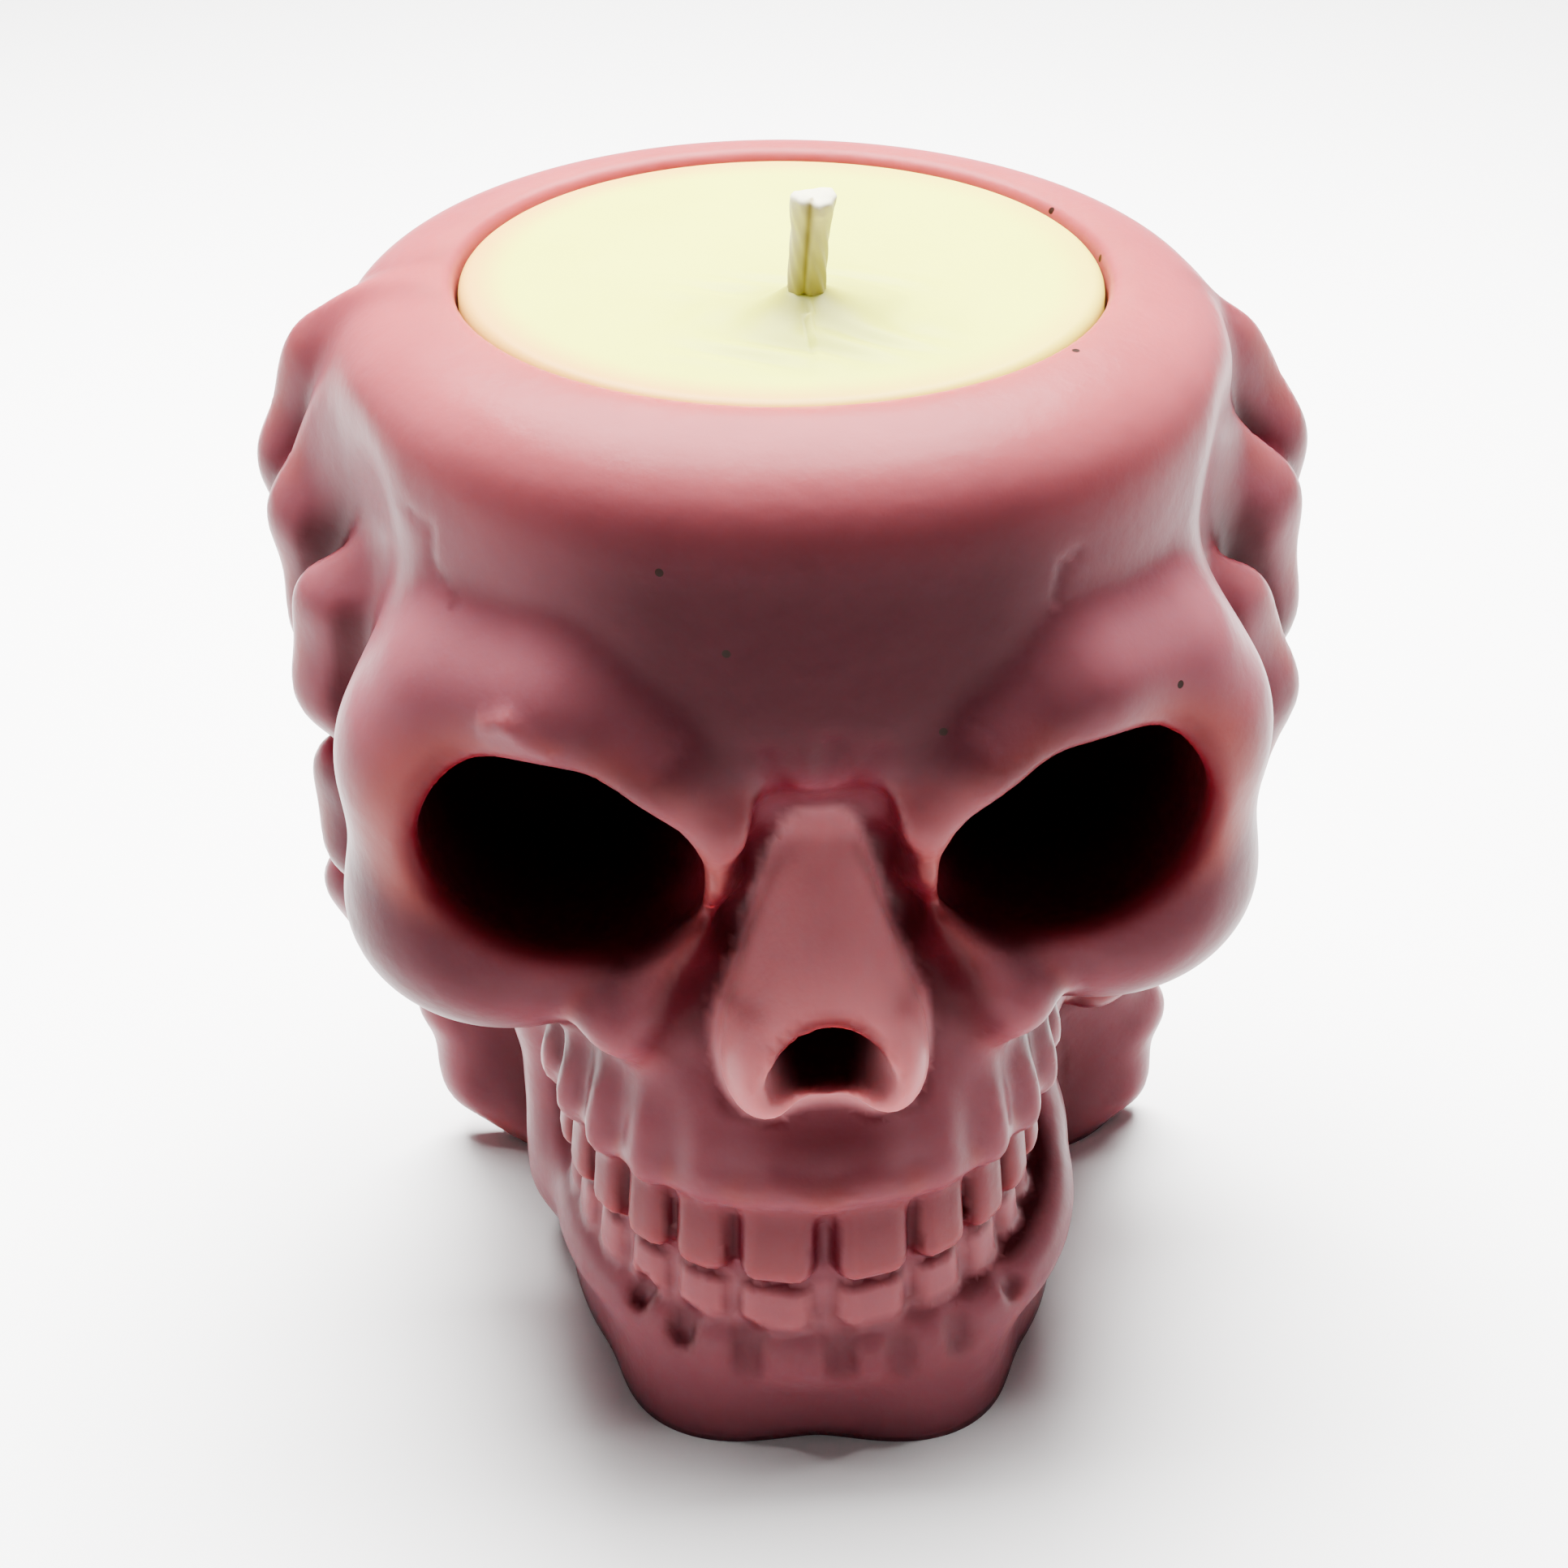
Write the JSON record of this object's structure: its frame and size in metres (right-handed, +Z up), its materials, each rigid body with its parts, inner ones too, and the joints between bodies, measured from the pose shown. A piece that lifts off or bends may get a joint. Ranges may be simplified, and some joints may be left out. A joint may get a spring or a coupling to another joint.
{
  "type": "skull candle",
  "caption": "Cast wax skull cup with scalloped side lobes, holding a poured wax fill with a cotton wick.",
  "frame": {"origin": "on the table under the bowl, in the middle of the flat base", "axes": "+Z up along the wick, -Y the way the skull faces, +X to the viewer's right"},
  "size_m": [0.0949, 0.0866, 0.1092],
  "materials": {
    "rose_wax": "cast wax, satin, slightly see-through",
    "cream_wax": "poured wax, satin",
    "waxed_cotton": "braided cotton, waxed",
    "tin": "plain sheet"
  },
  "bodies": {
    "root": {"skull_shell": "rose_wax", "candle_fill": "cream_wax", "wick": "waxed_cotton", "wick_foot": "tin"}
  },
  "joints": []
}
